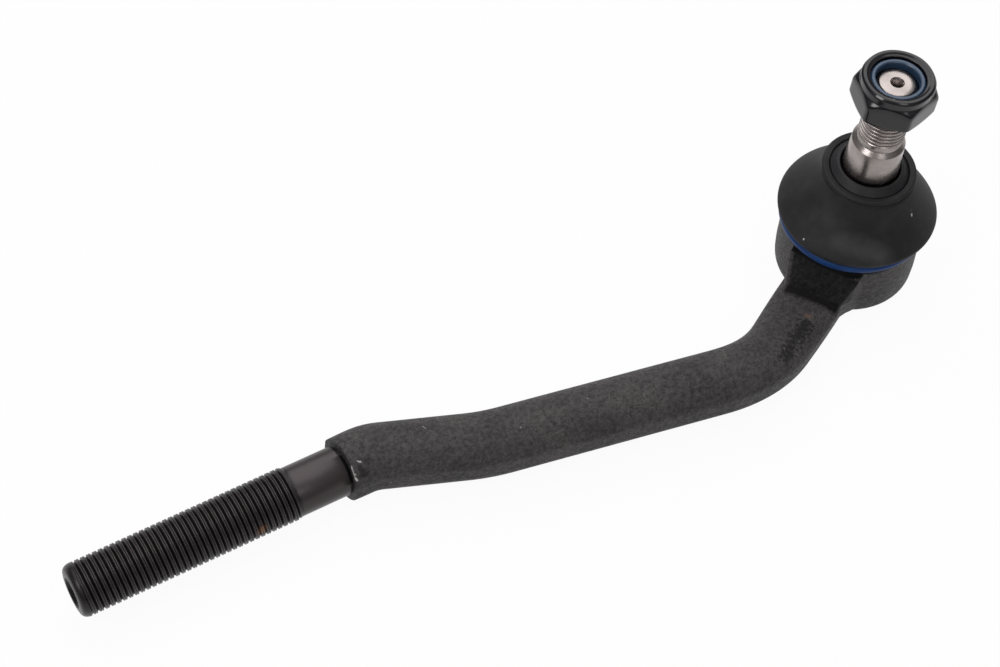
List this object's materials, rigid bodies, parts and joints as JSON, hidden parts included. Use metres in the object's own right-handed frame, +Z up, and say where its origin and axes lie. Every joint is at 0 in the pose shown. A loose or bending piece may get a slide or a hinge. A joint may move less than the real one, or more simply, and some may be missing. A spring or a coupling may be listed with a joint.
{
  "type": "tie rod end",
  "caption": "Bent forged tie rod end: a threaded shank and curved arm carry a ball cup whose tapered stud swings under a rubber boot and takes a locking nut.",
  "frame": {"origin": "on the ball cup's axis, at the level of the cup's underside", "axes": "+Z up the cup's axis towards the stud, -X along the threaded shank to its end, the arm bows to -Y"},
  "size_m": [0.2431, 0.0524, 0.0732],
  "materials": {
    "forged_black_steel": "forged, black",
    "machined_steel": "turned",
    "bearing_acetal": "moulded",
    "spring_steel": "oiled",
    "zinc_plated_cover": "plated",
    "boot_rubber": "matt",
    "blue_ring": "smooth",
    "mouth_ring_rubber": "smooth",
    "black_plated_nut": "black plated",
    "blue_nylon": "moulded"
  },
  "bodies": {
    "housing": {"forged_body": "forged_black_steel", "upper_bearing_seat": "bearing_acetal", "lower_bearing_seat": "bearing_acetal", "pressure_spring": "spring_steel", "end_cover": "zinc_plated_cover", "boot_clamp_ring": "blue_ring"},
    "boot": {"dust_boot": "boot_rubber"},
    "boot_mouth": {"boot_mouth_ring": "mouth_ring_rubber"},
    "stud": {"ball_stud": "machined_steel"},
    "insert": {"nylon_insert": "blue_nylon"},
    "nut": {"lock_nut": "black_plated_nut"}
  },
  "joints": [
    {"name": "swing_side", "type": "hinge", "parent": "housing", "child": "boot", "pos_m": [0, 0, 0.014], "axis": [0.5878, 0.809, 0], "range_deg": [-17.6, 12.4], "deforming": ["dust_boot"]},
    {"name": "swing_across", "type": "hinge", "parent": "boot", "child": "boot_mouth", "pos_m": [0, 0, 0.014], "axis": [0.8082, -0.5872, -0.0454], "range_deg": [-15, 15], "deforming": ["dust_boot"]},
    {"name": "stud_spin", "type": "hinge", "parent": "boot_mouth", "child": "stud", "pos_m": [0, 0, 0.014], "axis": [0.0367, -0.0267, 0.999], "continuous": true},
    {"name": "nut_travel", "type": "slide", "parent": "stud", "child": "insert", "axis": [0.0367, -0.0267, 0.999], "range_m": [-0.0112, 0], "deforming": ["nylon_insert"]},
    {"name": "nut_turn", "type": "hinge", "parent": "insert", "child": "nut", "pos_m": [0, 0, 0.014], "axis": [0.0367, -0.0267, 0.999], "range_deg": [-3240, 0]}
  ],
  "couplings": [
    {"joint": "nut_turn", "follows": "nut_travel", "rad_per_m": 5026.5}
  ]
}
